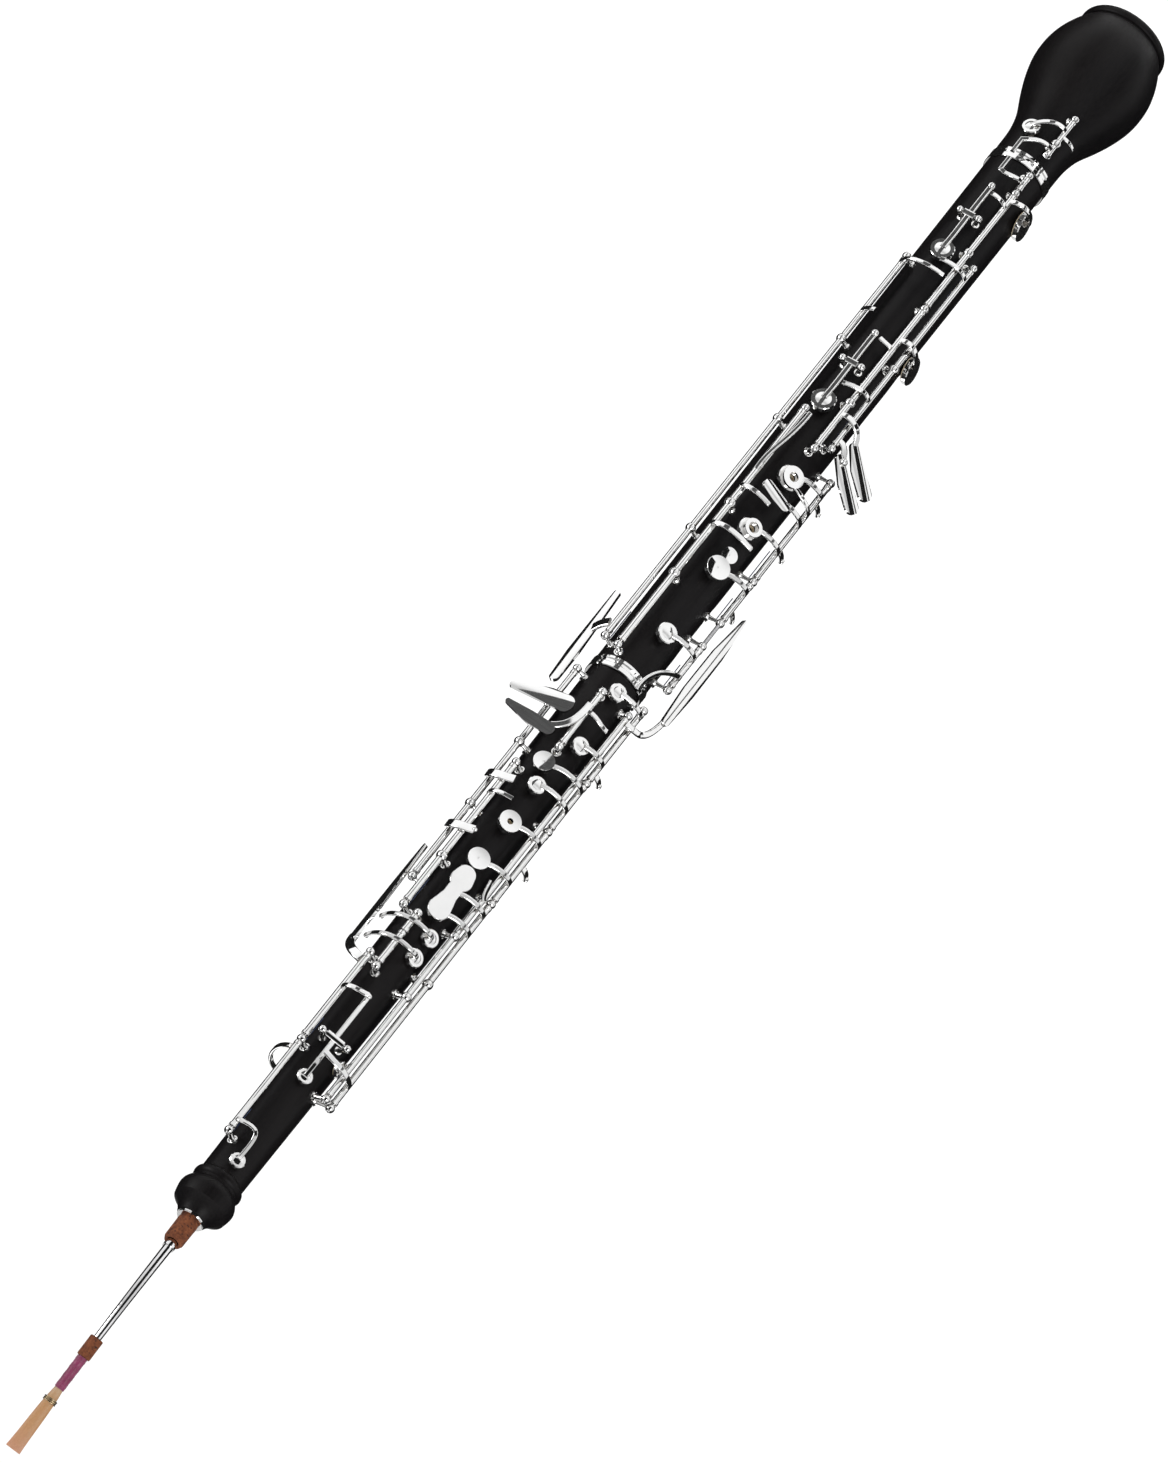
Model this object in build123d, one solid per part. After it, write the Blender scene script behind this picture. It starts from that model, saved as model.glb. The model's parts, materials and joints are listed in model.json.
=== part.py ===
from build123d import *
import os
from math import atan2, cos, degrees, radians, sin

# Cor anglais: three wooden sections, bocal, reed and conservatory keywork.
# Frame: Z up along the bore, origin at the centre of the bell rim, finger plates facing -Y.
# Places on the instrument are given as z, an angle round the bore from the front
# (positive towards -X) and a distance from the bore's axis.

os.makedirs("parts", exist_ok=True)

# ---- driving dimensions (mm) ----
BODY_TOP = 804.0
FINIAL_BASE = 780.0
JOINT_Z = 457.8
BELL_Z = 103.5
RING_HIGH = 6.4
UPPER_TOP_R, UPPER_LOW_R = 10.6, 13.4
LOWER_TOP_R, LOWER_LOW_R = 14.0, 15.3
BORE_TOP_R, BORE_LOW_R = 2.6, 7.9
SOCKET_R, SOCKET_DEEP = 4.65, 18.0
TENON_LONG = 22.0
MOUTH_R, MOUTH_DEEP = 15.5, 8.0

ROD_R = 1.0
TUBE_IN, TUBE_OUT = 1.06, 1.6
BALL_R = 2.15
GUIDE_WALL = 0.95
ARM_WIDE, ARM_THICK = 2.5, 1.5
PLATE_THICK = 1.5

BOCAL_BEND = 22.0
BOCAL_TURN = 2.8

# Rod lines, each an (angle, distance) pair: every hinge runs parallel to the bore.
OCTAVE_LINE = (-39.0, 17.3)
TRILL_LINE = (-17.0, 17.9)
LONG_TRILL_LINE = (48.5, 18.3)
UPPER_MAIN = (65.0, 19.5)
UPPER_RIGHT = (-43.0, 18.5)
PINKY_LINE = (-66.0, 18.9)
CROSS_LINE = (-6.2, 18.8)
LOWER_MAIN = (70.0, 21.7)
LOWER_RIGHT = (-30.0, 19.6)
LONG_LOW_LINE = (-56.0, 20.2)
CENTRE_LINE = (13.0, 20.6)
SECOND_LINE = (31.6, 20.6)
BELL_LINE = (13.0, 22.6)


# ---- places and directions ----
def at(z, phi, r):
    return Vector(-r * sin(radians(phi)), -r * cos(radians(phi)), z)


def outward(phi):
    return Vector(-sin(radians(phi)), -cos(radians(phi)), 0)


def sideways(phi):
    return Vector(cos(radians(phi)), -sin(radians(phi)), 0)


def facing(z, phi, r):
    """Plane on the body whose normal points outward and whose x runs up the bore."""
    return Plane(origin=at(z, phi, r), x_dir=(0, 0, 1), z_dir=outward(phi))


def skin(z):
    """Outer radius of the wood at a height."""
    if z >= JOINT_Z:
        share = (FINIAL_BASE - z) / (FINIAL_BASE - JOINT_Z)
        return UPPER_TOP_R + share * (UPPER_LOW_R - UPPER_TOP_R)
    if z >= BELL_Z:
        share = (JOINT_Z - z) / (JOINT_Z - BELL_Z)
        return LOWER_TOP_R + share * (LOWER_LOW_R - LOWER_TOP_R)
    return 16.0 if z > 78 else 17.6


def joined(shapes):
    whole = shapes[0]
    for shape in shapes[1:]:
        whole = whole + shape
    return whole


def round_edges(shape, above):
    """Circular edges wider than a radius."""
    return [edge for edge in shape.edges().filter_by(GeomType.CIRCLE) if edge.radius > above]


def save(shape, name):
    export_step(shape, f"parts/{name}.step")


def save_group(shapes, name):
    export_step(Compound(children=list(shapes)), f"parts/{name}.step")


# ---- keywork pieces ----
def ring_solid(z0, z1, outer, inner):
    tall = z1 - z0
    return Pos(0, 0, (z0 + z1) / 2) * (Cylinder(outer, tall) - Cylinder(inner, tall + 1))


def tube(line, z0, z1, outer=TUBE_OUT):
    """Hinge tube between two heights, with a collar at each end."""
    spot = at(0, *line)
    barrel = Cylinder(outer, z1 - z0)
    for end in (-1, 1):
        barrel += Pos(0, 0, end * ((z1 - z0) / 2 - 0.8)) * Cylinder(outer + 0.25, 1.6)
    barrel -= Cylinder(TUBE_IN, z1 - z0 + 1)
    return Pos(spot.X, spot.Y, (z0 + z1) / 2) * barrel


def post(line, z, through=None):
    """Ball post on a turned foot; a guide post lets a whole tube of a radius pass through it."""
    phi, r = line
    foot = skin(z) - 1.2
    tall = r - foot
    ball = through + GUIDE_WALL if through else BALL_R
    hole = through + 0.08 if through else ROD_R + 0.02
    stem = Pos(0, 0, (tall - 1.0) / 2) * Cone(1.5, 1.05, tall - 1.0)
    base = Pos(0, 0, 1.05) * Cylinder(2.3, 2.1)
    bead = Pos(0, 0, 2.4) * Cone(1.9, 1.4, 0.8)
    head = Pos(0, 0, tall) * Sphere(ball)
    whole = facing(z, phi, foot) * (stem + base + bead + head)
    spot = at(z, *line)
    return whole - Pos(spot.X, spot.Y, z) * Cylinder(hole, 12)


def hinge_rod(line, z0, z1):
    """Steel pivot rod with a slotted end."""
    spot = at(0, *line)
    bar = Cylinder(ROD_R, z1 - z0)
    bar -= Pos(0, 0, (z1 - z0) / 2) * Box(0.35, 3, 1.0)
    return Pos(spot.X, spot.Y, (z0 + z1) / 2) * bar


def arm(points, wide=ARM_WIDE, thick=ARM_THICK, across=(0, 0, 1)):
    """Rounded bar swept through places given as (z, angle, distance)."""
    path = Spline([at(*p) for p in points])
    along = path % 0
    width = Vector(*across) if not isinstance(across, Vector) else across
    width = width - along * width.dot(along)
    section = Plane(origin=path @ 0, x_dir=width, z_dir=along)
    outline = section * RectangleRounded(wide, thick, thick * 0.42)
    return sweep(outline, path)


def knob(z, phi, r, size):
    spot = at(z, phi, r)
    return Pos(spot.X, spot.Y, spot.Z) * Sphere(size)


def cup(z, phi, base, radius, tall=2.5, dome=0.7):
    """Key cup with a recess for its pad; base is the distance of its lower edge."""
    lip = radius - 0.5
    ridge = radius * 0.62
    outline = Polyline((0, 1.3), (lip, 1.3), (lip, 0), (radius, 0), (radius, tall - 0.4))
    outline += Polyline((radius, tall - 0.4), (radius - 0.4, tall), (ridge, tall))
    outline += ThreePointArc((ridge, tall), (ridge * 0.5, tall + dome * 0.75), (0, tall + dome))
    outline += Line((0, tall + dome), (0, 1.3))
    shell = revolve(Plane.XZ * make_face(outline), Axis.Z)
    return facing(z, phi, base) * shell


def pad(z, phi, base, radius, proud=0.8):
    disc = Pos(0, 0, (1.28 - proud) / 2) * Cylinder(radius - 0.55, 1.28 + proud)
    disc = fillet(disc.edges().group_by(Axis.Z)[0], 0.3)
    return facing(z, phi, base) * disc


def slab(outline, thick=PLATE_THICK, soft=0.45):
    """Plate with a softened upper edge from a flat outline."""
    plate = extrude(outline, thick)
    return fillet(plate.edges().group_by(Axis.Z)[-1], soft)


def hull_outline(circles):
    """Smooth outline round a few circles given as (x, y, radius)."""
    edges = []
    for x, y, radius in circles:
        edges += (Pos(x, y) * Circle(radius)).edges()
    return make_face(make_hull(edges))


def touch(plane, circles, thick=2.0, crown=7.0):
    """Finger touch: a hull of circles lying in the plane, crowned across its length."""
    (x0, y0, _), (x1, y1, _) = circles[0], circles[-1]
    ridge = Pos(x0, y0, thick - crown) * Rot(0, 0, degrees(atan2(y1 - y0, x1 - x0))) * Rot(0, 90, 0)
    return plane * (extrude(hull_outline(circles), thick) & ridge * Cylinder(crown, 200))


def plate(z, phi, base, radius, hole=0.0):
    """Round finger plate, slightly dished, with an optional hole."""
    disc = Pos(0, 0, 0.9) * Cylinder(radius, 1.8)
    disc = fillet(disc.edges().group_by(Axis.Z)[-1], 0.6)
    disc -= Pos(0, 0, 1.8 + 29.3) * Sphere(30)
    if hole:
        disc -= Cylinder(hole, 6)
    return facing(z, phi, base) * disc


def screw_head(z, phi, r, height=1.6):
    """Slotted adjusting screw standing on a lug, facing outward."""
    head = Pos(0, 0, height / 2) * Cylinder(1.15, height)
    head -= Pos(0, 0, height) * Box(3, 0.35, 0.9)
    return facing(z, phi, r) * head


def on_rod(line, pieces):
    """Fuse a key's pieces and bore the result for the rod it turns on."""
    spot = at(0, *line)
    return joined(pieces) - Pos(spot.X, spot.Y, 400) * Cylinder(TUBE_IN, 900)


# ---- heights of cup seats: a shut key rests just off the wood, an open one stands off it ----
SHUT, OPEN = 1.1, 2.7


def seat(z, state):
    return skin(z) + state


# Tone holes, (z, angle, radius), drilled as the pads are placed.
tone_holes = []


def stopped(z, phi, radius, state, tall=2.5, dome=0.7):
    """Cup and pad over a tone hole."""
    base = seat(z, state)
    tone_holes.append((z, phi, radius * 0.52))
    return cup(z, phi, base, radius, tall, dome), pad(z, phi, base, radius)


def side_arm(line, z_rod, z_end, phi_end, r_end, rise=1.6, wide=ARM_WIDE, thick=ARM_THICK):
    """Arm from a hinge tube round the body to a place on a cup or plate."""
    phi, r = line
    reach = phi_end - phi
    mid = (z_rod + z_end) / 2
    high = max(r + 1.9, (r + r_end) / 2 + rise)
    spots = [
        (z_rod, phi + reach * 0.02, r + 1.1),
        (z_rod + (mid - z_rod) * 0.5, phi + reach * 0.28, high),
        (mid, phi + reach * 0.62, (high + r_end) / 2 + 0.35),
        (z_end, phi_end, r_end),
    ]
    return arm(spots, wide, thick)


posts = []
rods = []


def hang(line, ends, guides=(), outer=TUBE_OUT):
    """Posts at both ends of a rod line, guide posts between, and the rod itself."""
    for z in ends:
        posts.append(post(line, z))
    for z in guides:
        posts.append(post(line, z, through=outer))
    rods.append(hinge_rod(line, min(ends) - 1.6, max(ends) + 1.6))


# ---- upper joint keys ----
def octave_key_1():
    cap, soft = stopped(774, 1, 3.75, SHUT, 2.0, 0.5)
    top = seat(774, SHUT) + 2.2
    pieces = [
        tube(OCTAVE_LINE, 709.4, 763.0),
        arm(
            [(759, -37, 18.4), (759, -22, 18.2), (759.5, -5, 16.6), (763, 0, 15.6), (774, 1, top)],
            2.2, 1.4,
        ),
        arm([(713, -42, 18.3), (713, -75, 17.8), (713, -115, 17.2), (710, -155, 16.6)], 2.6, 1.5),
        cap,
    ]
    pieces.append(touch(facing(704, -165, 16.0), [(5, 0, 4.5), (-8, 0, 5.5)], 2.2, 12.0))
    return on_rod(OCTAVE_LINE, pieces), [soft]


def octave_lever_2():
    phi, axle_r = 2, 17.2
    cap, soft = stopped(720.7, phi, 3.75, SHUT, 2.0, 0.5)
    top = seat(720.7, SHUT) + 2.2
    side = sideways(phi)
    bar = arm(
        [(720.7, phi, top), (712, phi, 16.6), (699, phi, 17.2), (684, phi, 17.6), (672, phi, 17.6)],
        2.4, 1.6, side,
    )
    hub = Plane(origin=at(699, phi, axle_r), z_dir=side) * (Cylinder(1.9, 9) - Cylinder(TUBE_IN, 12))
    end = knob(672, phi, 17.6, 1.7)
    bore = Plane(origin=at(699, phi, axle_r), z_dir=side) * Cylinder(TUBE_IN, 12)
    return (bar + hub + end + cap) - bore, [soft]


def octave_key_2():
    pieces = [
        tube(OCTAVE_LINE, 653.4, 704.6, 1.75),
        arm([(674, -37, 18.6), (674, -24, 20.6), (674, -10, 21.1), (673, 1, 20.6)], 2.6, 1.5),
        arm([(657, -41, 18.7), (655, -55, 20.4), (650.5, -70, 21.4), (644, -78, 21.3)], 4.6, 1.6),
    ]
    leaf = Plane(origin=at(615, -78, 20.6), x_dir=(0, 0, 1), z_dir=outward(-66))
    pieces.append(touch(leaf, [(30, 0, 2.4), (10, 0, 2.8), (-29, 0, 0.8)]))
    return on_rod(OCTAVE_LINE, pieces), []


def trill_lever(z, z_cup, tube_low, tube_high):
    cap, soft = stopped(z_cup, 25, 4.4, SHUT, 2.2, 0.6)
    top = seat(z_cup, SHUT) + 2.6
    pieces = [
        tube(TRILL_LINE, tube_low, tube_high),
        arm(
            [
                (z_cup, 25, top), (z, 8, 18.9), (z, -14, 19.6),
                (z, -34, 19.2), (z, -58, 18.2), (z, -74, 17.6),
            ],
            2.3, 1.5,
        ),
        knob(z, -74, 17.6, 1.25),
        cap,
    ]
    return on_rod(TRILL_LINE, pieces), [soft]


def half_hole_key():
    cap, soft = stopped(614.8, 3, 5.0, OPEN, 2.3, 0.2)
    base = seat(606, OPEN) + 2.0
    table = facing(603, 3, base)
    outline = hull_outline([(11.8, 0, 5.4), (3.5, 0, 3.6)]) + hull_outline([(3.5, 0, 3.6), (-4, 0, 3.6)])
    outline += hull_outline([(-6.6, 0, 5.5), (-10.6, 0, 4.6)])
    pieces = [
        tube(UPPER_MAIN, 593.0, 720.2),
        table * slab(outline, 1.6, 0.4),
        side_arm(UPPER_MAIN, 611, 614.5, 16, base + 0.9),
        side_arm(UPPER_MAIN, 599, 602, 13, base + 0.9),
        arm(
            [(709, 62, 20.8), (709.5, 48, 21.8), (710, 28, 22.2), (710, 12, 21.8), (709, 3, 21.2)],
            2.8, 1.2,
        ),
        cap,
    ]
    return on_rod(UPPER_MAIN, pieces), [soft]


def b_key():
    near, near_pad = stopped(582.0, 3, 5.0, OPEN, 2.3, 0.2)
    far, far_pad = stopped(557.0, 5, 5.0, OPEN, 2.3, 0.2)
    near_base = seat(582, OPEN) + 2.1
    far_base = seat(557, OPEN) + 2.1
    pieces = [
        tube(UPPER_MAIN, 545.4, 588.4),
        near,
        far,
        plate(582, 3, near_base, 5.4),
        plate(557, 5, far_base, 5.4),
        side_arm(UPPER_MAIN, 577, 581, 18, near_base + 0.8),
        side_arm(UPPER_MAIN, 552.5, 556, 20, far_base + 0.8),
        arm([(566, 66, 20.6), (566, 76, 22.4), (566, 84, 22.8)], 3.2, 1.4),
        screw_head(566, 83, 22.6),
    ]
    # the second plate has a small open vent through its centre
    vent = facing(557, 5, far_base) * Cylinder(1.5, 14)
    return on_rod(UPPER_MAIN, pieces) - vent, [near_pad, far_pad - vent]


def a_key():
    small, small_pad = stopped(532.9, 3, 4.4, OPEN)
    large, large_pad = stopped(521.6, -10, 4.8, OPEN, 2.3, 0.2)
    plate_base = seat(521.6, OPEN) + 2.1
    pieces = [
        tube(UPPER_MAIN, 513.4, 541.0),
        small,
        large,
        plate(521.6, -10, plate_base, 5.1),
        side_arm(UPPER_MAIN, 530, 532.5, 8, seat(532.9, OPEN) + 2.9),
        side_arm(UPPER_MAIN, 517, 521, 4, plate_base + 0.8),
    ]
    return on_rod(UPPER_MAIN, pieces), [small_pad, large_pad]


def g_key():
    upper, upper_pad = stopped(502.6, 18, 4.5, OPEN)
    lower, lower_pad = stopped(468.8, 12, 4.4, OPEN)
    pieces = [
        tube(UPPER_MAIN, 464.6, 508.8),
        upper,
        lower,
        side_arm(UPPER_MAIN, 499.5, 502, 22, seat(502.6, OPEN) + 2.9),
        side_arm(UPPER_MAIN, 467.2, 468.8, 16, seat(468.8, OPEN) + 2.9),
        arm([(505, 66, 20.6), (505, 75, 22.4), (505, 82, 22.8)], 3.2, 1.4),
        screw_head(505, 81, 22.6),
    ]
    return on_rod(UPPER_MAIN, pieces), [upper_pad, lower_pad]


def left_pinky_key_1():
    pieces = [
        tube(CROSS_LINE, 476.8, 508.6),
        arm(
            [(484, -8, 20.0), (493, -10, 20.6), (500, -16, 21.4), (505, -30, 22.0)],
            3.4, 1.5, sideways(-10),
        ),
        arm([(488, -4, 20.1), (488.5, 8, 20.8), (489, 20, 20.4), (488.5, 31, 20.0)], 2.4, 1.4),
    ]
    leaf = Plane(origin=(14, -17.6, 507), x_dir=(1, 0, 0), z_dir=(0.25, -1, 0.25))
    pieces.append(touch(leaf, [(-3.6, 0, 3.0), (6, 0.5, 3.2), (18.5, 0, 1.3)]))
    return on_rod(CROSS_LINE, pieces), []


def left_link_key():
    """Long tube with two bent touches and a bar that crosses to the front."""
    pieces = [tube(UPPER_RIGHT, 530.4, 619.0, 1.75)]
    for z in (572.5, 539.2):
        pieces.append(arm(
            [(z, -64, 21.9), (z, -52, 21.5), (z, -38, 20.6), (z - 0.5, -24, 20.4)],
            4.6, 1.4),
        )
        pieces.append(arm([(z, -43, 19.2), (z, -43, 20.2), (z, -43, 21.2)], 4.0, 2.0))
    pieces.append(arm(
        [(549, -46, 19.6), (549, -34, 21.4), (549, -18, 21.6), (549, -10, 21.6)],
        2.3, 1.4),
    )
    pieces.append(knob(572, -24, 20.4, 1.2))
    return on_rod(UPPER_RIGHT, pieces), []


def left_pinky_key_2():
    pieces = [
        tube(PINKY_LINE, 468.4, 601.6, 1.5),
        arm([(490, -66, 19.6), (490, -60, 22.0), (490.5, -50, 23.4)], 5.0, 1.5),
    ]
    spoon = Plane(origin=(15.2, -15.8, 490.5), x_dir=(1, 0, 0), z_dir=(0.35, -1, 0.1))
    pieces.append(touch(spoon, [(-3.5, 0, 4.6), (4, 0, 4.3), (21, 5.0, 1.3)], 2.2, 9.0))
    return on_rod(PINKY_LINE, pieces), []


def right_trill_key():
    cap, soft = stopped(704, 55, 4.2, SHUT, 2.2, 0.6)
    pieces = [
        tube(LONG_TRILL_LINE, 474.4, 720.2, 1.5),
        cap,
        arm([(701, 49, 17.2), (702.5, 52, 16.0), (704, 55, seat(704, SHUT) + 2.5)], 3.0, 1.6),
        arm(
            [(594.6, 47, 19.3), (592.4, 43, 18.9), (589, 41, 18.5), (585, 40, 18.0)],
            3.0, 1.4, sideways(44),
        ),
        arm(
            [(476.4, 50, 20.0), (476, 58, 22.8), (474, 68, 24.6), (466, 79, 27.0), (455, 83.5, 28.4)],
            3.2, 1.6,
        ),
    ]
    leaf = Plane(origin=(-27.9, -3.0, 424), x_dir=(0, 0, 1), z_dir=(-0.55, -1, 0))
    pieces.append(touch(leaf, [(33, 0, 2.0), (13, 0, 3.4), (-12, 0, 3.2), (-35, 0, 0.7)], 2.2))
    return on_rod(LONG_TRILL_LINE, pieces), [soft]


# ---- lower joint keys ----
def f_sharp_key():
    cap, soft = stopped(428.2, 14, 5.1, OPEN)
    pieces = [
        tube(LOWER_MAIN, 418.0, 442.8),
        cap,
        side_arm(LOWER_MAIN, 425, 428, 20, seat(428.2, OPEN) + 2.9),
        arm(
            [(437, 68, 23.0), (441, 52, 23.8), (448, 34, 23.2), (455, 26, 22.4), (463, 26, 21.8)],
            2.6, 1.5,
        ),
    ]
    return on_rod(LOWER_MAIN, pieces), [soft]


def e_plate_key():
    near, near_pad = stopped(385, 12, 5.4, OPEN, 2.3, 0.2)
    base = seat(385, OPEN) + 2.1
    small = plate(375.8, 14, base - 0.3, 4.0)
    pieces = [
        tube(LOWER_MAIN, 374.0, 397.6),
        near,
        plate(385, 12, base, 6.0),
        small,
        side_arm(LOWER_MAIN, 379.5, 383.5, 28, base + 0.8),
        arm([(392, 71, 22.9), (392, 79, 23.8), (392, 85, 24.1)], 3.2, 1.4),
        screw_head(392, 84, 23.8, 1.3),
    ]
    return on_rod(LOWER_MAIN, pieces), [near_pad]


def fork_link_key():
    pieces = [
        tube(LOWER_RIGHT, 288.6, 446.2, 1.8),
        arm([(367, -32, 21.0), (367.5, -16, 23.4), (368, 6, 24.2), (368, 26, 24.4)], 2.8, 1.5),
        arm([(341, -32, 21.0), (342, -18, 23.0), (343, -2, 23.4), (343.5, 11, 23.2)], 2.4, 1.4),
        arm(
            [
                (330, -30, 20.4), (325, -28, 22.2), (317, -25, 22.8),
                (309, -21, 22.9), (300, -18, 22.8), (290, -17, 22.6),
            ],
            2.4,
            1.5,
            sideways(-22),
        ),
    ]
    return on_rod(LOWER_RIGHT, pieces), []


def ring_key():
    upper, upper_pad = stopped(357.4, 13, 5.4, OPEN, 2.2, 0.1)
    lower, lower_pad = stopped(322.0, 14, 6.2, OPEN, 2.2, 0.1)
    upper_base = seat(357.4, OPEN) + 2.0
    lower_base = seat(322, OPEN) + 2.0
    upper_ring = facing(356.8, 15, upper_base) * Pos(0, 0, 1.1) * (Cylinder(4.5, 2.4) - Cylinder(2.7, 4))
    lower_ring = facing(322.0, 15, lower_base) * Pos(0, 0, 1.1) * (Cylinder(5.4, 2.4) - Cylinder(2.4, 4))
    pieces = [
        tube(LOWER_MAIN, 306.0, 369.4),
        upper,
        lower,
        upper_ring,
        lower_ring,
        side_arm(LOWER_MAIN, 352, 355.5, 22, upper_base + 1.1),
        side_arm(LOWER_MAIN, 327, 324.5, 24, lower_base + 1.1),
        side_arm(LOWER_MAIN, 314, 319.0, 24, lower_base + 1.1),
        side_arm(LOWER_MAIN, 333.5, 336.6, 26, 23.2),
    ]
    leaf = [(0.4, 4.6, 2.5), (-0.6, -1.5, 3.0), (-1.4, -7.5, 2.6)]
    pieces.append(touch(facing(337.4, 15, 21.9), leaf, 1.8, 6.0))
    for z in (350, 318):
        pieces.append(arm([(z, 71, 22.9), (z, 79, 24.2), (z, 85, 24.6)], 3.2, 1.4))
        pieces.append(screw_head(z, 84, 24.4))
    vents = facing(356.8, 15, upper_base) * Cylinder(1.9, 16)
    vents += facing(322.0, 15, lower_base) * Cylinder(1.9, 16)
    return on_rod(LOWER_MAIN, pieces) - vents, [upper_pad - vents, lower_pad - vents]


def paddle_plane():
    """Plane of the two little-finger paddles of the right hand, beside the body."""
    return Plane(origin=(-26, -12.5, 298), x_dir=(0, 0, 1), z_dir=(-0.35, -1, 0))


def e_flat_key():
    cap, soft = stopped(227.4, 68, 7.0, OPEN, 2.4, 0.6)
    pieces = [
        tube(CENTRE_LINE, 207.2, 300.2),
        cap,
        arm(
            [(227, 14, 21.5), (227, 26, 24.8), (227.4, 46, 22.8), (227.4, 64, seat(227.4, OPEN) + 2.8)],
            3.0, 1.6,
        ),
        arm([(234, 9, 21.7), (234, 0, 21.8), (233.5, -8, 21.8)], 2.4, 1.4),
        arm(
            [(279, 14, 21.5), (279.4, 24, 24.4), (281, 36, 25.4), (284, 45, 25.0), (288, 51, 24.6)],
            3.0, 1.6,
        ),
        touch(paddle_plane(), [(-12, -8, 2.4), (-5, 0, 3.4), (0.4, 9.6, 3.8)], 2.2, 9.0),
    ]
    return on_rod(CENTRE_LINE, pieces), [soft]


def low_c_key():
    pieces = [
        tube(SECOND_LINE, 171.0, 292.8),
        arm([(263, 29, 21.8), (263.5, 14, 23.6), (265, 0, 23.2), (266, -10, 22.6)], 2.4, 1.4),
        arm([(177, 29, 21.8), (177.5, 14, 23.6), (178, 0, 23.2), (178.5, -10, 22.6)], 2.4, 1.4),
        arm([(289.5, 33, 21.5), (291, 40, 23.6), (294, 46, 24.4), (298, 50, 24.6)], 3.0, 1.6),
        touch(paddle_plane(), [(-1.6, -10, 2.4), (5.4, -1, 3.4), (10.6, 8.4, 3.8)], 2.2, 9.0),
        knob(297.0, 47, 26.2, 1.9),
    ]
    return on_rod(SECOND_LINE, pieces), []


def see_saw(z_cup, z_axle, z_tail, phi, radius):
    """Lever lying along the bore, rocking on a cross axle, cup one end and tail the other."""
    cap, soft = stopped(z_cup, phi, radius, OPEN, 2.5, 0.8)
    axle_r = skin(z_axle) + 5.2
    top = seat(z_cup, OPEN) + 3.0
    side = sideways(phi)
    bar = arm(
        [
            (z_cup, phi, top), (z_cup - 9, phi, axle_r - 0.4), (z_axle, phi, axle_r),
            (z_axle - 10, phi, axle_r), (z_tail, phi, axle_r),
        ],
        3.0,
        1.7,
        side,
    )
    seat_plane = Plane(origin=at(z_axle, phi, axle_r), z_dir=side)
    hub = seat_plane * Cylinder(1.9, 5.6)
    whole = bar + hub + cap + knob(z_tail, phi, axle_r, 2.0)
    return whole - seat_plane * Cylinder(TUBE_IN, 14), [soft]


def low_side_key():
    cap, soft = stopped(124.2, 70, 7.6, SHUT, 2.4, 0.6)
    pieces = [
        tube(CENTRE_LINE, 124.8, 202.6),
        cap,
        arm(
            [(128, 14, 21.5), (127, 28, 25.2), (125, 48, 23.4), (124.2, 66, seat(124.2, SHUT) + 2.8)],
            3.0, 1.6,
        ),
        arm([(133, 12, 21.8), (133, 1, 24.0), (133, -10, 24.2)], 2.4, 1.4),
    ]
    return on_rod(CENTRE_LINE, pieces), [soft]


def left_hand_low_key():
    """Long rod down the right side with a leaf at the top and two cross arms."""
    pieces = [
        tube(LONG_LOW_LINE, 184.0, 443.0, 1.5),
        arm([(438, -60, 21.8), (440, -72, 23.0), (443, -82, 23.8)], 5.0, 1.6),
        arm([(221, -54, 21.8), (221.5, -42, 23.4), (222, -32, 24.2)], 2.3, 1.4),
        arm([(187, -54, 21.8), (187, -38, 24.4), (187, -18, 25.0), (186.5, 4, 24.6)], 2.3, 1.4),
    ]
    leaf = Plane(origin=(23.0, -3.0, 446), x_dir=(0, 0, 1), z_dir=(0.75, -1, 0))
    pieces.append(touch(leaf, [(28.5, 0.6, 2.4), (12, 0, 3.1), (-27, -0.8, 1.6)]))
    return on_rod(LONG_LOW_LINE, pieces), []


def bell_link_key():
    """Short key whose bracket hangs over the joint and leads the bell key."""
    pieces = [
        tube(CENTRE_LINE, 112.0, 119.9),
        arm([(116, 12, 21.7), (117, 1, 23.0), (118.5, -12, 23.6), (118, -20, 23.6)], 2.2, 1.4),
        arm([(118.6, -20, 23.6), (114, -20, 23.6), (109.4, -20, 23.6)], 2.2, 1.4, sideways(-20)),
    ]
    return on_rod(CENTRE_LINE, pieces), []


def bell_key():
    """Key on the bell: a bracket that meets the link, a tube and a cup."""
    base = 17.2
    tone_holes.append((84.0, -29, 2.3))
    cap = cup(84.0, -29, base, 4.5, 2.4, 0.6)
    soft = pad(84.0, -29, base, 4.5)
    pieces = [
        tube(BELL_LINE, 72.2, 95.8),
        cap,
        arm([(79, 12, 23.8), (79.5, -2, 24.2), (81.5, -16, 22.4), (84, -29, base + 2.6)], 2.4, 1.4),
        arm([(92.4, 12, 23.9), (93.4, -3, 25.0), (96.2, -15, 25.0), (98, -22, 24.7)], 2.3, 1.4),
        arm([(97, -21, 24.7), (102, -21, 24.7), (106.6, -21, 24.7)], 2.3, 1.4, sideways(-21)),
        arm([(82.6, 14, 23.8), (82.6, 24, 24.4), (82.6, 33, 23.6)], 2.0, 1.2),
    ]
    return on_rod(BELL_LINE, pieces), [soft]


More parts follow.
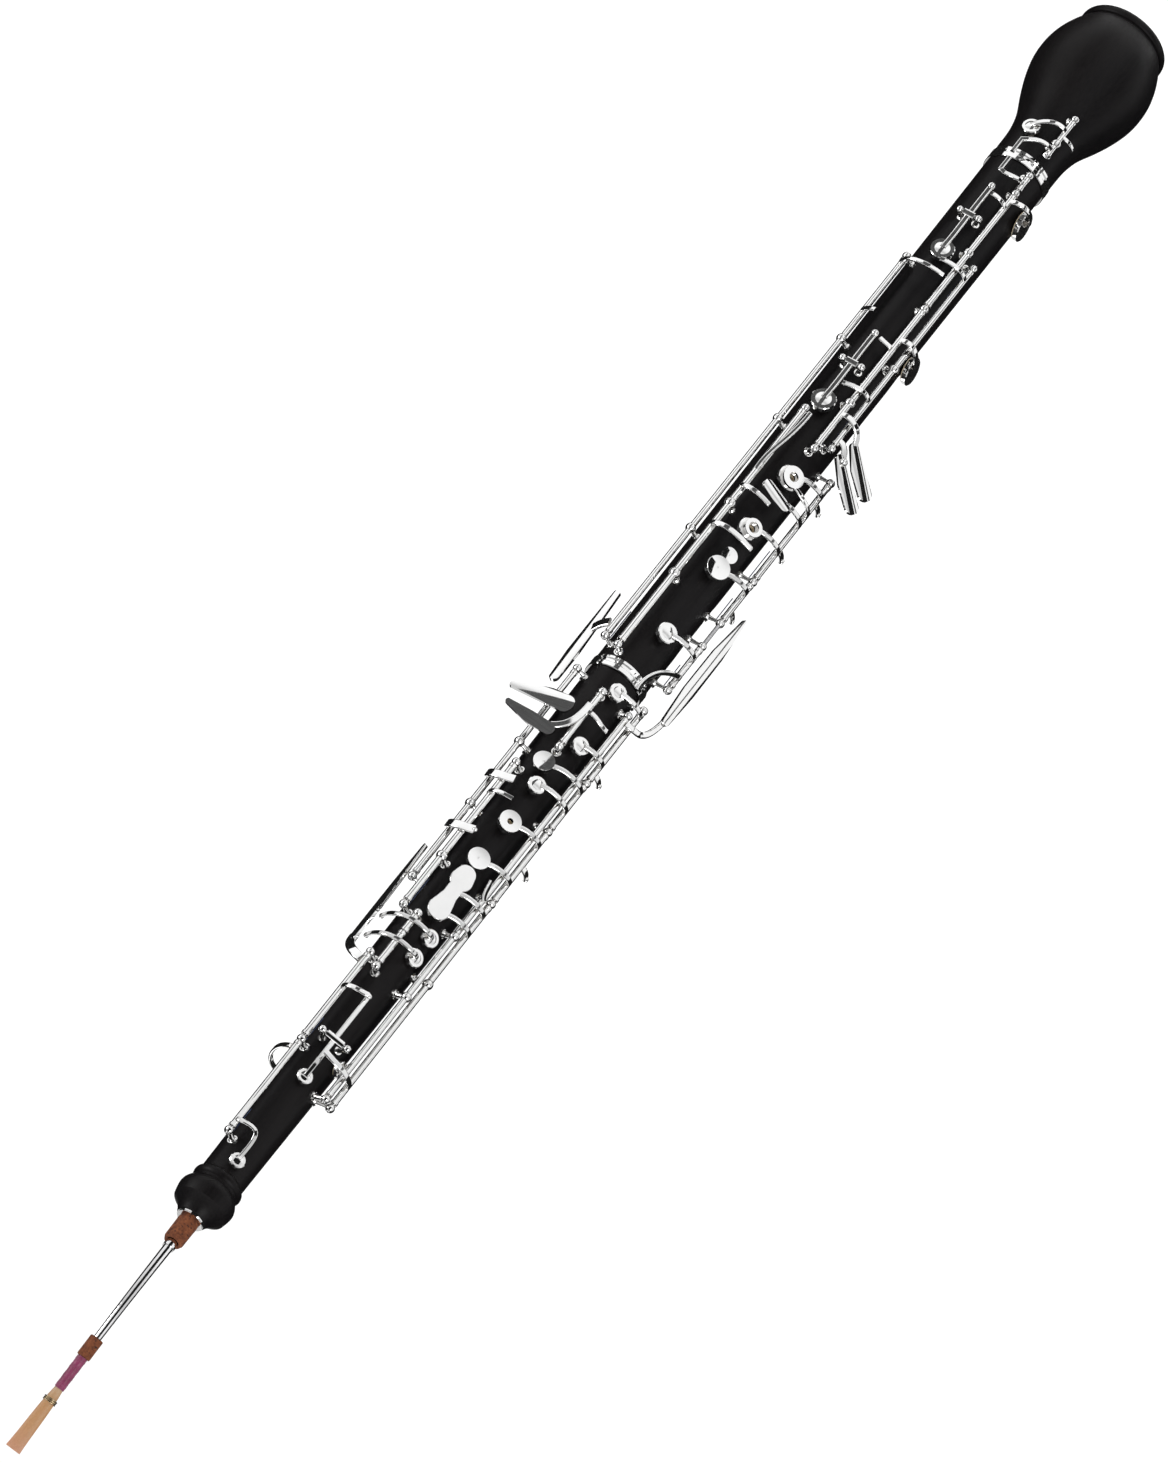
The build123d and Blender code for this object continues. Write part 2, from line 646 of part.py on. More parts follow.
keys = {
    "octave_key_1": octave_key_1(),
    "octave_lever_2": octave_lever_2(),
    "octave_key_2": octave_key_2(),
    "trill_lever_1": trill_lever(640.6, 639.2, 635.4, 654.6),
    "trill_lever_2": trill_lever(628.0, 626.6, 625.2, 634.6),
    "half_hole_key": half_hole_key(),
    "b_key": b_key(),
    "a_key": a_key(),
    "g_key": g_key(),
    "left_pinky_key_1": left_pinky_key_1(),
    "left_pinky_key_2": left_pinky_key_2(),
    "left_link_key": left_link_key(),
    "right_trill_key": right_trill_key(),
    "f_sharp_key": f_sharp_key(),
    "e_plate_key": e_plate_key(),
    "fork_link_key": fork_link_key(),
    "ring_key": ring_key(),
    "e_flat_key": e_flat_key(),
    "low_c_key": low_c_key(),
    "low_c_lever": see_saw(277.0, 252.0, 231.5, -18, 6.1),
    "low_b_lever": see_saw(171.0, 147.0, 126.8, -18, 5.9),
    "low_side_key": low_side_key(),
    "left_hand_low_key": left_hand_low_key(),
    "bell_link_key": bell_link_key(),
    "bell_key": bell_key(),
}
for name, (metal, pads) in keys.items():
    save(metal, name)
    if pads:
        save_group(pads, f"{name}_pads" if len(pads) > 1 else f"{name}_pad")

# ---- posts and rods ----
def cross_axle(z, phi, axle_r, half):
    """Pair of ball posts that carry an axle across the bore, and the axle."""
    side = sideways(phi)
    middle = at(z, phi, axle_r)
    line = Plane(origin=middle, z_dir=side)
    for hand in (-1, 1):
        ball = middle + side * (hand * half)
        r = (ball.X**2 + ball.Y**2) ** 0.5
        foot = skin(z) - 1.2
        tall = r - foot
        up = Vector(ball.X, ball.Y, 0) * (1 / r)
        stand = Plane(origin=up * foot + Vector(0, 0, z), x_dir=(0, 0, 1), z_dir=up)
        stem = Pos(0, 0, (tall - 1.0) / 2) * Cone(1.4, 1.0, tall - 1.0)
        base = Pos(0, 0, 1.05) * Cylinder(1.9, 2.1)
        head = Pos(0, 0, tall) * Sphere(1.9)
        posts.append(stand * (stem + base + head) - line * Cylinder(ROD_R + 0.02, 40))
    axle = Cylinder(ROD_R, 2 * half + 2.4)
    axle -= Pos(0, 0, half + 1.2) * Box(0.35, 3, 0.9)
    rods.append(line * axle)


hang(OCTAVE_LINE, (765.2, 707.0, 651.0))
hang(TRILL_LINE, (657.0, 622.8))
hang(UPPER_MAIN, (722.6, 590.7, 543.2, 511.1, 462.3), (643.0,))
hang(LONG_TRILL_LINE, (722.6, 472.0), (657.2, 617.8), 1.5)
hang(UPPER_RIGHT, (621.4, 528.0), (590.0,), 1.75)
hang(PINKY_LINE, (604.0, 466.0), (556.0, 515.0), 1.5)
hang(CROSS_LINE, (511.0, 474.4))
hang(LOWER_MAIN, (445.2, 415.6, 400.0, 371.7, 303.6))
hang(LOWER_RIGHT, (448.6, 286.2), (400.0, 352.0), 1.8)
hang(LONG_LOW_LINE, (445.4, 181.6), (372.0, 296.0, 240.0), 1.5)
hang(CENTRE_LINE, (302.6, 204.9, 122.4, 109.8), (271.0, 165.0))
hang(SECOND_LINE, (295.2, 168.6), (240.0,))
cross_axle(699.0, 2, 17.2, 6.9)
cross_axle(252.0, -18, skin(252) + 5.2, 5.0)
cross_axle(147.0, -18, skin(147) + 5.2, 5.0)
posts.append(post(BELL_LINE, 69.8))
posts.append(post(BELL_LINE, 87.4, through=TUBE_OUT))
rods.append(hinge_rod(BELL_LINE, 68.2, 96.8))


def needle(line, z, direction, long=15.0):
    """Blued needle spring lying under a hinge tube, set in the stem of a post."""
    phi, r = line
    spot = at(z, phi, r - 2.8)
    wire = Cylinder(0.25, long)
    return Pos(spot.X, spot.Y, z + direction * (1.35 + long / 2)) * wire


needles = [
    needle(OCTAVE_LINE, 765.2, -1),
    needle(OCTAVE_LINE, 707.0, -1),
    needle(TRILL_LINE, 657.0, -1, 9),
    needle(UPPER_MAIN, 722.6, -1, 18),
    needle(UPPER_MAIN, 590.7, -1, 18),
    needle(UPPER_MAIN, 543.2, -1, 14),
    needle(UPPER_MAIN, 511.1, -1, 18),
    needle(UPPER_RIGHT, 621.4, -1, 18),
    needle(CROSS_LINE, 511.0, -1, 12),
    needle(LOWER_MAIN, 445.2, -1, 14),
    needle(LOWER_MAIN, 400.0, -1, 14),
    needle(LOWER_MAIN, 371.7, -1, 18),
    needle(LOWER_RIGHT, 448.6, -1, 18),
    needle(LONG_LOW_LINE, 445.4, -1, 18),
    needle(CENTRE_LINE, 302.6, -1, 18),
    needle(CENTRE_LINE, 204.9, -1, 18),
    needle(SECOND_LINE, 295.2, -1, 18),
    needle(SECOND_LINE, 168.6, 1, 18),
]

# ---- wooden sections ----
def turned(outline):
    return revolve(Plane.XZ * make_face(outline), Axis.Z)


def chain(*spots):
    return Polyline(*spots)


def finial_edge():
    edge = Line((UPPER_TOP_R, FINIAL_BASE), (10.9, 780.4))
    edge += ThreePointArc((10.9, 780.4), (12.15, 782.7), (11.2, 785.0))
    edge += Line((11.2, 785.0), (11.2, 786.2))
    edge += Spline((11.2, 786.2), (12.6, 788.0), (13.75, 790.6), (13.7, 793.4), (12.95, 797.0))
    edge += Line((12.95, 797.0), (12.4, 797.4))
    edge += Spline((12.4, 797.4), (10.2, 799.2), (8.2, 801.6), (7.2, 803.6))
    return edge


def upper_wood():
    outline = finial_edge()
    outline += chain((7.2, 803.6), (6.4, 804.0), (6.4, 801.6), (SOCKET_R, 801.6))
    outline += chain((SOCKET_R, 801.6), (SOCKET_R, BODY_TOP - SOCKET_DEEP))
    outline += chain((SOCKET_R, BODY_TOP - SOCKET_DEEP), (BORE_TOP_R, BODY_TOP - SOCKET_DEEP))
    outline += Line((BORE_TOP_R, BODY_TOP - SOCKET_DEEP), (5.1, JOINT_Z - TENON_LONG))
    low = JOINT_Z - TENON_LONG
    outline += chain((5.1, low), (9.5, low), (9.9, low + 0.5), (9.9, low + 5), (9.0, low + 5))
    outline += chain((9.0, low + 5), (9.0, low + 17), (9.9, low + 17), (9.9, JOINT_Z))
    outline += chain((9.9, JOINT_Z), (UPPER_LOW_R, JOINT_Z), (UPPER_TOP_R, FINIAL_BASE))
    return turned(outline)


def lower_wood():
    top = JOINT_Z - 0.2
    low = BELL_Z - TENON_LONG
    outline = chain(
        (5.3, JOINT_Z - TENON_LONG - 0.5),
        (10.45, JOINT_Z - TENON_LONG - 0.5),
        (10.45, top),
        (12.6, top),
        (12.6, top - RING_HIGH),
        (LOWER_TOP_R, top - RING_HIGH),
        (LOWER_LOW_R, BELL_Z),
        (10.9, BELL_Z),
        (10.9, low + 17),
        (10.0, low + 17),
        (10.0, low + 5),
        (10.9, low + 5),
        (10.9, low + 0.5),
        (10.5, low),
        (BORE_LOW_R, low),
        (5.3, JOINT_Z - TENON_LONG - 0.5),
    )
    return turned(outline)


def bell_wood():
    top = BELL_Z - 0.2
    under = top - RING_HIGH
    outside = Spline(
        (15.7, under), (15.8, 88), (16.2, 80), (17.4, 73), (19.2, 67), (21.5, 61.5), (23.9, 55.5),
        (26.0, 49.5), (27.8, 43), (28.9, 37), (29.2, 31), (28.8, 25), (27.4, 18.5), (25.3, 12.5),
        (22.4, 6.4),
    )
    outline = outside + chain((22.4, 6.4), (21.4, 5.6), (21.4, 4.8))
    outline += Spline((21.4, 4.8), (22.5, 4.0), (22.8, 2.4), (22.2, 0.8), (20.8, 0.0))
    outline += chain((20.8, 0.0), (MOUTH_R, 0.0), (MOUTH_R, MOUTH_DEEP))
    outline += Spline(
        (MOUTH_R, MOUTH_DEEP), (19.0, 13), (22.6, 20), (24.6, 28), (24.4, 36), (21.8, 45),
        (17.6, 54), (12.6, 63), (9.2, 72), (BORE_LOW_R, BELL_Z - TENON_LONG - 0.6),
    )
    outline += chain(
        (BORE_LOW_R, BELL_Z - TENON_LONG - 0.6), (11.45, BELL_Z - TENON_LONG - 0.6), (11.45, top),
        (14.2, top), (14.2, under), (15.7, under),
    )
    return turned(outline)


def holes():
    return [facing(z, phi, 0) * Pos(0, 0, 15) * Cylinder(radius, 30) for z, phi, radius in tone_holes]


def drilled(wood, low, high):
    for place, drill in zip(tone_holes, holes()):
        if low < place[0] < high:
            wood = wood - drill
    for stand in posts:
        middle = stand.center().Z
        if low < middle < high:
            wood = wood - stand
    return wood


save(drilled(upper_wood(), JOINT_Z, 800), "upper_joint")
save(drilled(lower_wood(), BELL_Z, JOINT_Z), "lower_joint")
save(drilled(bell_wood(), 0, BELL_Z), "bell")
save_group(posts, "key_posts")
save_group(rods, "pivot_rods")
save_group(needles, "needle_springs")


def band(top, inner, outer):
    """Socket band with two raised edges and a hollow between them."""
    low = top - RING_HIGH + 0.05
    outline = chain((inner, low), (outer - 0.3, low), (outer, low + 0.3), (outer, low + 1.5))
    outline += chain((outer, low + 1.5), (outer - 0.5, low + 2.1), (outer - 0.5, low + 3.4))
    outline += chain((outer - 0.5, low + 3.4), (outer, low + 4.0), (outer, top - 0.3))
    outline += chain((outer, top - 0.3), (outer - 0.3, top), (inner, top), (inner, low))
    return turned(outline)


save_group([band(JOINT_Z - 0.2, 12.62, 14.7), band(BELL_Z - 0.2, 14.22, 16.3)], "socket_bands")
save(ring_solid(801.62, 805.0, 6.36, 4.72) + ring_solid(804.0, 804.6, 6.7, 4.72), "finial_ring")
tenon_corks = []
for low, inner, outer in ((JOINT_Z - TENON_LONG, 9.02, 10.35), (BELL_Z - TENON_LONG, 10.02, 11.35)):
    tenon_corks.append(ring_solid(low + 5.1, low + 16.9, outer, inner))
save_group(tenon_corks, "tenon_corks")

# ---- thumb rest, its screws and the strap ring on the back of the lower joint ----
REST_Z, LUG_Z, LUG_R = 335.0, 350.0, 19.2


def thumb_rest():
    shell = ring_solid(REST_Z - 14, REST_Z + 20, 16.2, 14.75)
    wedge = Pos(0, 15, REST_Z + 3) * Box(15, 12, 40)
    saddle = shell & wedge
    shelf_outline = hull_outline([(-5.5, 16.5, 2.0), (5.5, 16.5, 2.0), (-6.5, 27.0, 3.2), (6.5, 27.0, 3.2)])
    shelf = Pos(0, 0, REST_Z - 12) * slab(shelf_outline, 2.4, 0.8)
    rib = Pos(0, 18.2, REST_Z - 8.4) * Box(2.2, 5.0, 5.0)
    lug = Pos(0, 18.6, LUG_Z) * Box(3.0, 6.0, 6.2)
    lug = fillet(lug.edges().filter_by(Axis.X), 1.4)
    whole = saddle + shelf + rib + lug
    whole -= Pos(0, LUG_R, LUG_Z) * Rot(0, 90, 0) * Cylinder(1.75, 8)
    for z in (REST_Z - 3, REST_Z + 6):
        whole -= Pos(0, 15.6, z) * Rot(90, 0, 0) * Cylinder(1.32, 6)
    return whole


def rest_screw(z):
    head = Cylinder(1.3, 1.3)
    head -= Pos(0, 0, 0.65) * Box(3, 0.4, 0.7)
    return Pos(0, 15.95, z) * Rot(-90, 0, 0) * head


save(thumb_rest(), "thumb_rest")
save_group([rest_screw(REST_Z - 3), rest_screw(REST_Z + 6)], "thumb_rest_screws")
ring = Cylinder(6.1, 1.7) - Cylinder(4.1, 3)
ring = fillet(round_edges(ring, 5), 0.45)
save(Pos(0, LUG_R, LUG_Z - 5.1) * Rot(90, 0, 0) * ring, "strap_ring")

# ---- bocal and reed, built in the plane X = 0 and then turned a little in the socket ----
turn = Rot(0, 0, BOCAL_TURN)
BEND_Z, BEND_R = 830.5, 114.6
lean = radians(BOCAL_BEND)
END_Y = BEND_R * (1 - cos(lean))
END_Z = BEND_Z + BEND_R * sin(lean)
along_reed = Vector(0, sin(lean), cos(lean))
reed_base = Plane(origin=(0, END_Y, END_Z), x_dir=(1, 0, 0), z_dir=along_reed)


def bocal_shape(low_r, bend_r, tip_r, z0, extra):
    straight = Pos(0, 0, (z0 + BEND_Z) / 2) * Cone(low_r, bend_r, BEND_Z - z0)
    bend = ThreePointArc(
        (0, 0, BEND_Z),
        (0, BEND_R * (1 - cos(lean / 2)), BEND_Z + BEND_R * sin(lean / 2)),
        (0, END_Y, END_Z),
    )
    start = Plane(origin=(0, 0, BEND_Z), z_dir=(0, 0, 1)) * Circle(bend_r)
    finish = Plane(origin=(0, END_Y, END_Z), z_dir=along_reed) * Circle(tip_r)
    curve = sweep([start, finish], bend, multisection=True)
    tip = reed_base * Pos(0, 0, extra / 2) * Cylinder(tip_r, extra)
    return straight + curve + tip


bocal = bocal_shape(2.65, 2.2, 1.78, BODY_TOP - SOCKET_DEEP + 1, 9.8)
bocal -= bocal_shape(1.5, 1.3, 1.1, BODY_TOP - SOCKET_DEEP, 12.0)
bocal += Pos(0, 0, 821.2) * (Cylinder(2.9, 1.4) - Cylinder(2.0, 3))
save(turn * bocal, "bocal_tube")

cork_low = BODY_TOP - SOCKET_DEEP + 0.6
cork = turned(
    chain(
        (2.72, cork_low), (4.57, cork_low), (4.6, 805.2), (4.85, 806.4),
        (4.7, 817.2), (4.0, 818.6), (2.72, 818.0), (2.72, cork_low),
    )
)
save(turn * cork, "bocal_cork")

sleeve = Pos(0, 0, 5.1) * (Cylinder(3.2, 10.2) - Cylinder(1.86, 11))
sleeve = fillet(round_edges(sleeve, 3), 0.5)
save(turn * (reed_base * sleeve), "reed_cork")
THREAD_LONG, CANE_LONG = 17.0, 32.5
wrap = turned(
    chain(
        (1.3, 10.3), (2.3, 10.3), (2.35, 14.0), (2.25, 10.3 + THREAD_LONG - 1), (2.0, 10.3 + THREAD_LONG),
        (1.3, 10.3 + THREAD_LONG), (1.3, 10.3),
    )
)
save(turn * (reed_base * wrap), "reed_thread")


def cane_form(sections):
    return loft([Plane(origin=(0, 0, z)) * Ellipse(a, b) for z, a, b in sections])


cane_low = 10.4 + THREAD_LONG
outer = cane_form(
    [
        (cane_low, 2.02, 1.98), (cane_low + 6, 2.6, 1.9),
        (cane_low + 16, 3.05, 1.5), (cane_low + CANE_LONG, 3.65, 0.55),
    ]
)
inner = cane_form(
    [
        (cane_low - 0.1, 1.5, 1.45), (cane_low + 6, 2.15, 1.4),
        (cane_low + 16, 2.65, 1.05), (cane_low + CANE_LONG + 0.1, 3.5, 0.25),
    ]
)
cane = outer - inner - Pos(0, 0, cane_low + 16) * Box(20, 0.12, 60)
save_group([turn * (reed_base * blade) for blade in cane.solids()], "reed_blades")
wire_turns = []
for z in (cane_low + 5.4, cane_low + 6.15, cane_low + 6.9):
    loop = Plane(origin=(0, 0, z)) * Ellipse(2.98, 2.25).edges()[0]
    section = Plane(origin=loop @ 0, z_dir=loop % 0) * Circle(0.3)
    wire_turns.append(turn * (reed_base * sweep(section, loop)))
save_group(wire_turns, "reed_wire")
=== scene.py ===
import json
import math
from random import Random

import bmesh
import bpy
from mathutils import Matrix, Vector


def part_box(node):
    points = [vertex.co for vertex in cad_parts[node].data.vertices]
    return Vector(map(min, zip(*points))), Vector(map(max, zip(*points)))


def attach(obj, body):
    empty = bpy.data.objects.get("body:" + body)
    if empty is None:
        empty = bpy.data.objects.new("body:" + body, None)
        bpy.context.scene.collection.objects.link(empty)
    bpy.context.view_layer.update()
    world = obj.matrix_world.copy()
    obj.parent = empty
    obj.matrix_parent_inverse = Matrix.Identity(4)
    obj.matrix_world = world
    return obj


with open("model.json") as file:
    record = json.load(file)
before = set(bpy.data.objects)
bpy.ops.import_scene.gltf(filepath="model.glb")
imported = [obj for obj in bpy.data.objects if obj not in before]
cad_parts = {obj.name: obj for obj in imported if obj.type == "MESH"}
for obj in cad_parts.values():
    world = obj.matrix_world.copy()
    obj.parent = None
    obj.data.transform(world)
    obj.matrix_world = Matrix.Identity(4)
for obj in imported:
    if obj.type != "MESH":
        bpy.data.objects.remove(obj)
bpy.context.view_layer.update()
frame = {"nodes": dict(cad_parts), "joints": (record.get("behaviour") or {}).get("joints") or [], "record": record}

nodes = frame["nodes"]

# ---- where the camera stands: in front of the finger plates and above them ----
CAMERA_RISE = math.radians(32.1)
CAMERA_ROLL = math.radians(141.63)
CAMERA_AWAY = 5.129
AIM = Vector((-0.0025, 0.0, 0.485))
SENSOR_MM = 36
LENS_MM = 282.98
NEAREST, FARTHEST = 0.1, 60


def make_camera():
    """A long lens that looks down at the instrument, turned about its own axis."""
    data = bpy.data.cameras.new("camera")
    data.sensor_width = SENSOR_MM
    data.lens = LENS_MM
    data.clip_start, data.clip_end = NEAREST, FARTHEST
    back = Vector((0, -math.cos(CAMERA_RISE), math.sin(CAMERA_RISE)))
    level_right = Vector((1, 0, 0))
    level_up = back.cross(level_right)
    turn_c, turn_s = math.cos(CAMERA_ROLL), math.sin(CAMERA_ROLL)
    right = turn_c * level_right - turn_s * level_up
    up = turn_s * level_right + turn_c * level_up
    camera = bpy.data.objects.new("camera", data)
    place = Matrix((right, up, back)).transposed().to_4x4()
    place.translation = AIM + back * CAMERA_AWAY
    camera.matrix_world = place
    bpy.context.scene.collection.objects.link(camera)
    bpy.context.scene.camera = camera


# ---- material building blocks ----
class Nodes:
    """Short names for building one material's node tree."""

    def __init__(self, name):
        self.material = bpy.data.materials.new(name)
        self.material.use_nodes = True
        self.tree = self.material.node_tree
        self.tree.nodes.clear()
        self.out = self.tree.nodes.new("ShaderNodeOutputMaterial")
        self.shader = self.tree.nodes.new("ShaderNodeBsdfPrincipled")
        self.link(self.shader.outputs[0], self.out.inputs["Surface"])

    def new(self, kind, **settings):
        node = self.tree.nodes.new(kind)
        for key, value in settings.items():
            setattr(node, key, value)
        return node

    def link(self, a, b):
        self.tree.links.new(a, b)

    def fixed(self, **values):
        for key, value in values.items():
            self.shader.inputs[key.replace("_", " ")].default_value = value

    def place(self, stretch=(1, 1, 1)):
        """Object coordinates, squeezed or stretched along each axis."""
        coords = self.new("ShaderNodeTexCoord")
        mapping = self.new("ShaderNodeMapping")
        mapping.inputs["Scale"].default_value = stretch
        self.link(coords.outputs["Object"], mapping.inputs["Vector"])
        return mapping.outputs["Vector"]

    def noise(self, scale, stretch=(1, 1, 1), detail=4.0, rough=0.5):
        tex = self.new("ShaderNodeTexNoise")
        tex.inputs["Scale"].default_value = scale
        tex.inputs["Detail"].default_value = detail
        tex.inputs["Roughness"].default_value = rough
        self.link(self.place(stretch), tex.inputs["Vector"])
        return tex.outputs["Fac"]

    def ramp(self, fac, *stops):
        """Colour ramp through (position, colour) stops."""
        ramp = self.new("ShaderNodeValToRGB")
        bar = ramp.color_ramp
        while len(bar.elements) < len(stops):
            bar.elements.new(0.5)
        for element, (position, colour) in zip(bar.elements, stops):
            element.position = position
            element.color = (*colour, 1)
        self.link(fac, ramp.inputs["Fac"])
        return ramp.outputs["Color"]

    def spread(self, fac, low, high, from_low=0.3, from_high=0.7):
        """A value stretched to another range."""
        span = self.new("ShaderNodeMapRange")
        span.inputs["From Min"].default_value = from_low
        span.inputs["From Max"].default_value = from_high
        span.inputs["To Min"].default_value = low
        span.inputs["To Max"].default_value = high
        self.link(fac, span.inputs["Value"])
        return span.outputs["Result"]

    def mixed(self, fac, a, b, blend="MIX"):
        mix = self.new("ShaderNodeMix", data_type="RGBA", blend_type=blend)
        for socket, value in ((mix.inputs[0], fac), (mix.inputs[6], a), (mix.inputs[7], b)):
            if isinstance(value, (int, float)):
                socket.default_value = value
            elif isinstance(value, tuple):
                socket.default_value = (*value, 1)
            else:
                self.link(value, socket)
        return mix.outputs[2]

    def bump(self, height, distance, strength=1.0, under=None):
        bump = self.new("ShaderNodeBump")
        bump.inputs["Strength"].default_value = strength
        bump.inputs["Distance"].default_value = distance
        self.link(height, bump.inputs["Height"])
        if under is not None:
            self.link(under, bump.inputs["Normal"])
        return bump.outputs["Normal"]

    def colour(self, source):
        self.link(source, self.shader.inputs["Base Color"])

    def rough(self, source):
        self.link(source, self.shader.inputs["Roughness"])

    def normal(self, source):
        self.link(source, self.shader.inputs["Normal"])


# ---- materials ----
def blackwood():
    """Oiled grenadilla: near black, with long pores along the bore."""
    m = Nodes("blackwood")
    grain = m.noise(900, (1, 1, 0.035), 6, 0.6)
    cloud = m.noise(30, (1, 1, 0.25), 3)
    base = m.ramp(grain, (0.35, (0.0022, 0.0020, 0.0026)), (0.75, (0.0062, 0.0054, 0.0060)))
    m.colour(m.mixed(m.spread(cloud, 0.0, 0.5), base, (0.0085, 0.0068, 0.0066)))
    m.rough(m.spread(grain, 0.36, 0.50))
    pores = m.noise(2600, (1, 1, 0.03), 3, 0.7)
    m.normal(m.bump(pores, 0.00006, 0.5, m.bump(grain, 0.00010, 0.35)))
    m.fixed(Specular_IOR_Level=0.13)
    return m.material


def silver(name="silver", tint=(0.85, 0.85, 0.847), rough_low=0.03, rough_high=0.08):
    """Polished silver plate, duller in smudged patches, with painted shade (darker and a little warmer) in the
    hollows and where parts come close.
    """
    m = Nodes(name)
    shade = m.new("ShaderNodeAmbientOcclusion", samples=4)
    shade.inputs["Distance"].default_value = 0.0035
    smudge = m.noise(160, (1, 1, 0.6), 4, 0.6)
    tarnish = m.mixed(m.spread(smudge, 0.0, 0.35), tint, tuple(c * 0.86 for c in tint))
    # painted shade: the colour turns darker and warmer where the occlusion finds other surfaces within 3.5 mm
    m.colour(m.mixed(m.spread(shade.outputs["AO"], 0.55, 0.0, 0.25, 0.85), tarnish, (0.50, 0.47, 0.43)))
    m.rough(m.spread(smudge, rough_low, rough_high))
    hairlines = m.noise(1800, (1, 1, 0.12), 2, 0.5)
    m.normal(m.bump(hairlines, 0.000002, 0.15))
    m.fixed(Metallic=1.0)
    return m.material


def steel():
    """Turned steel of the rods and screws."""
    m = Nodes("rod_steel")
    turned = m.noise(3000, (0.15, 0.15, 1), 2)
    m.colour(m.ramp(turned, (0.3, (0.42, 0.42, 0.43)), (0.7, (0.62, 0.62, 0.63))))
    m.rough(m.spread(turned, 0.18, 0.32))
    m.normal(m.bump(turned, 0.00001, 0.3))
    m.fixed(Metallic=1.0)
    return m.material


def blued_steel():
    """Blue-black spring steel."""
    m = Nodes("blued_steel")
    patch = m.noise(500, (1, 1, 0.3), 3)
    m.colour(m.ramp(patch, (0.3, (0.035, 0.05, 0.11)), (0.7, (0.09, 0.11, 0.19))))
    m.rough(m.spread(patch, 0.22, 0.4))
    m.fixed(Metallic=1.0)
    return m.material


def pad_skin():
    """Thin pale skin stretched over felt."""
    m = Nodes("pad_skin")
    mottle = m.noise(700, (1, 1, 1), 5, 0.6)
    m.colour(m.ramp(mottle, (0.3, (0.62, 0.50, 0.34)), (0.7, (0.80, 0.70, 0.53))))
    m.rough(m.spread(mottle, 0.35, 0.55))
    m.normal(m.bump(mottle, 0.00008, 0.4))
    m.fixed(Subsurface_Weight=0.1)
    return m.material


def cork(name, dark, light):
    """Sanded cork: reddish brown, with dark pits and paler grains."""
    m = Nodes(name)
    grains = m.new("ShaderNodeTexVoronoi")
    grains.inputs["Scale"].default_value = 1300
    m.link(m.place(), grains.inputs["Vector"])
    patches = m.noise(420, (1, 1, 1), 5, 0.65)
    base = m.ramp(patches, (0.32, dark), (0.68, light))
    speckle = m.spread(grains.outputs["Color"], 0.0, 0.35, 0.2, 0.9)
    base = m.mixed(speckle, base, tuple(c * 0.55 for c in dark))
    pit_noise = m.noise(620, (1, 1, 1.6), 2, 0.4)
    pits = m.ramp(pit_noise, (0.60, (0, 0, 0)), (0.66, (1, 1, 1)))
    m.colour(m.mixed(pits, base, (0.045, 0.018, 0.012)))
    m.rough(m.spread(patches, 0.68, 0.88))
    m.fixed(Specular_IOR_Level=0.25)
    m.normal(m.bump(pit_noise, 0.00025, 0.5, m.bump(grains.outputs["Distance"], 0.00012, 0.4)))
    return m.material


def thread():
    """Plum thread with a soft sheen, paler in patches."""
    m = Nodes("thread")
    fibre = m.noise(5200, (1, 1, 2.2), 3, 0.6)
    shade = m.noise(260, (1, 1, 1), 3)
    base = m.ramp(fibre, (0.3, (0.10, 0.006, 0.032)), (0.7, (0.23, 0.018, 0.080)))
    m.colour(m.mixed(m.spread(shade, 0.0, 0.5), base, (0.33, 0.045, 0.15)))
    m.rough(m.spread(fibre, 0.26, 0.42))
    m.normal(m.bump(fibre, 0.00004, 0.5))
    m.fixed(Sheen_Weight=0.35)
    return m.material


def cane(low, high):
    """Scraped cane: pale beside the thread, straw colour above, and pinker towards the tip."""
    m = Nodes("cane")
    fibre = m.noise(2400, (1, 1, 0.05), 5, 0.65)
    blotch = m.noise(220, (1, 1, 0.4), 3)
    place = m.new("ShaderNodeSeparateXYZ")
    m.link(m.place(), place.inputs[0])
    height = m.spread(place.outputs["Z"], 0.0, 1.0, low, high)
    along = m.ramp(
        height,
        (0.0, (0.52, 0.355, 0.245)),
        (0.14, (0.51, 0.305, 0.175)),
        (0.22, (0.49, 0.245, 0.105)),
        (0.62, (0.51, 0.257, 0.116)),
        (1.0, (0.56, 0.270, 0.166)),
    )
    streaks = m.ramp(fibre, (0.3, (0.72, 0.62, 0.50)), (0.7, (1, 1, 1)))
    base = m.mixed(0.8, along, streaks, "MULTIPLY")
    m.colour(m.mixed(m.spread(blotch, 0.0, 0.3), base, (0.50, 0.28, 0.12)))
    m.rough(m.spread(fibre, 0.40, 0.58))
    m.normal(m.bump(fibre, 0.00005, 0.5))
    m.fixed(Subsurface_Weight=0.12)
    return m.material


def brass():
    """Dull drawn wire that binds the cane."""
    m = Nodes("brass_wire")
    drawn = m.noise(1500, (1, 1, 1), 2)
    m.colour(m.ramp(drawn, (0.3, (0.34, 0.26, 0.15)), (0.7, (0.60, 0.48, 0.30))))
    m.rough(m.spread(drawn, 0.16, 0.3))
    m.fixed(Metallic=1.0)
    return m.material


def floor_material():
    """Pale paper, lit a little from behind."""
    m = Nodes("floor")
    fleck = m.noise(6, (1, 1, 1), 4)
    m.colour(m.ramp(fleck, (0.3, (0.84, 0.84, 0.84)), (0.7, (0.87, 0.87, 0.87))))
    m.rough(m.spread(fleck, 0.75, 0.9))
    m.fixed(Emission_Color=(1, 1, 1, 1), Emission_Strength=0.22)
    return m.material


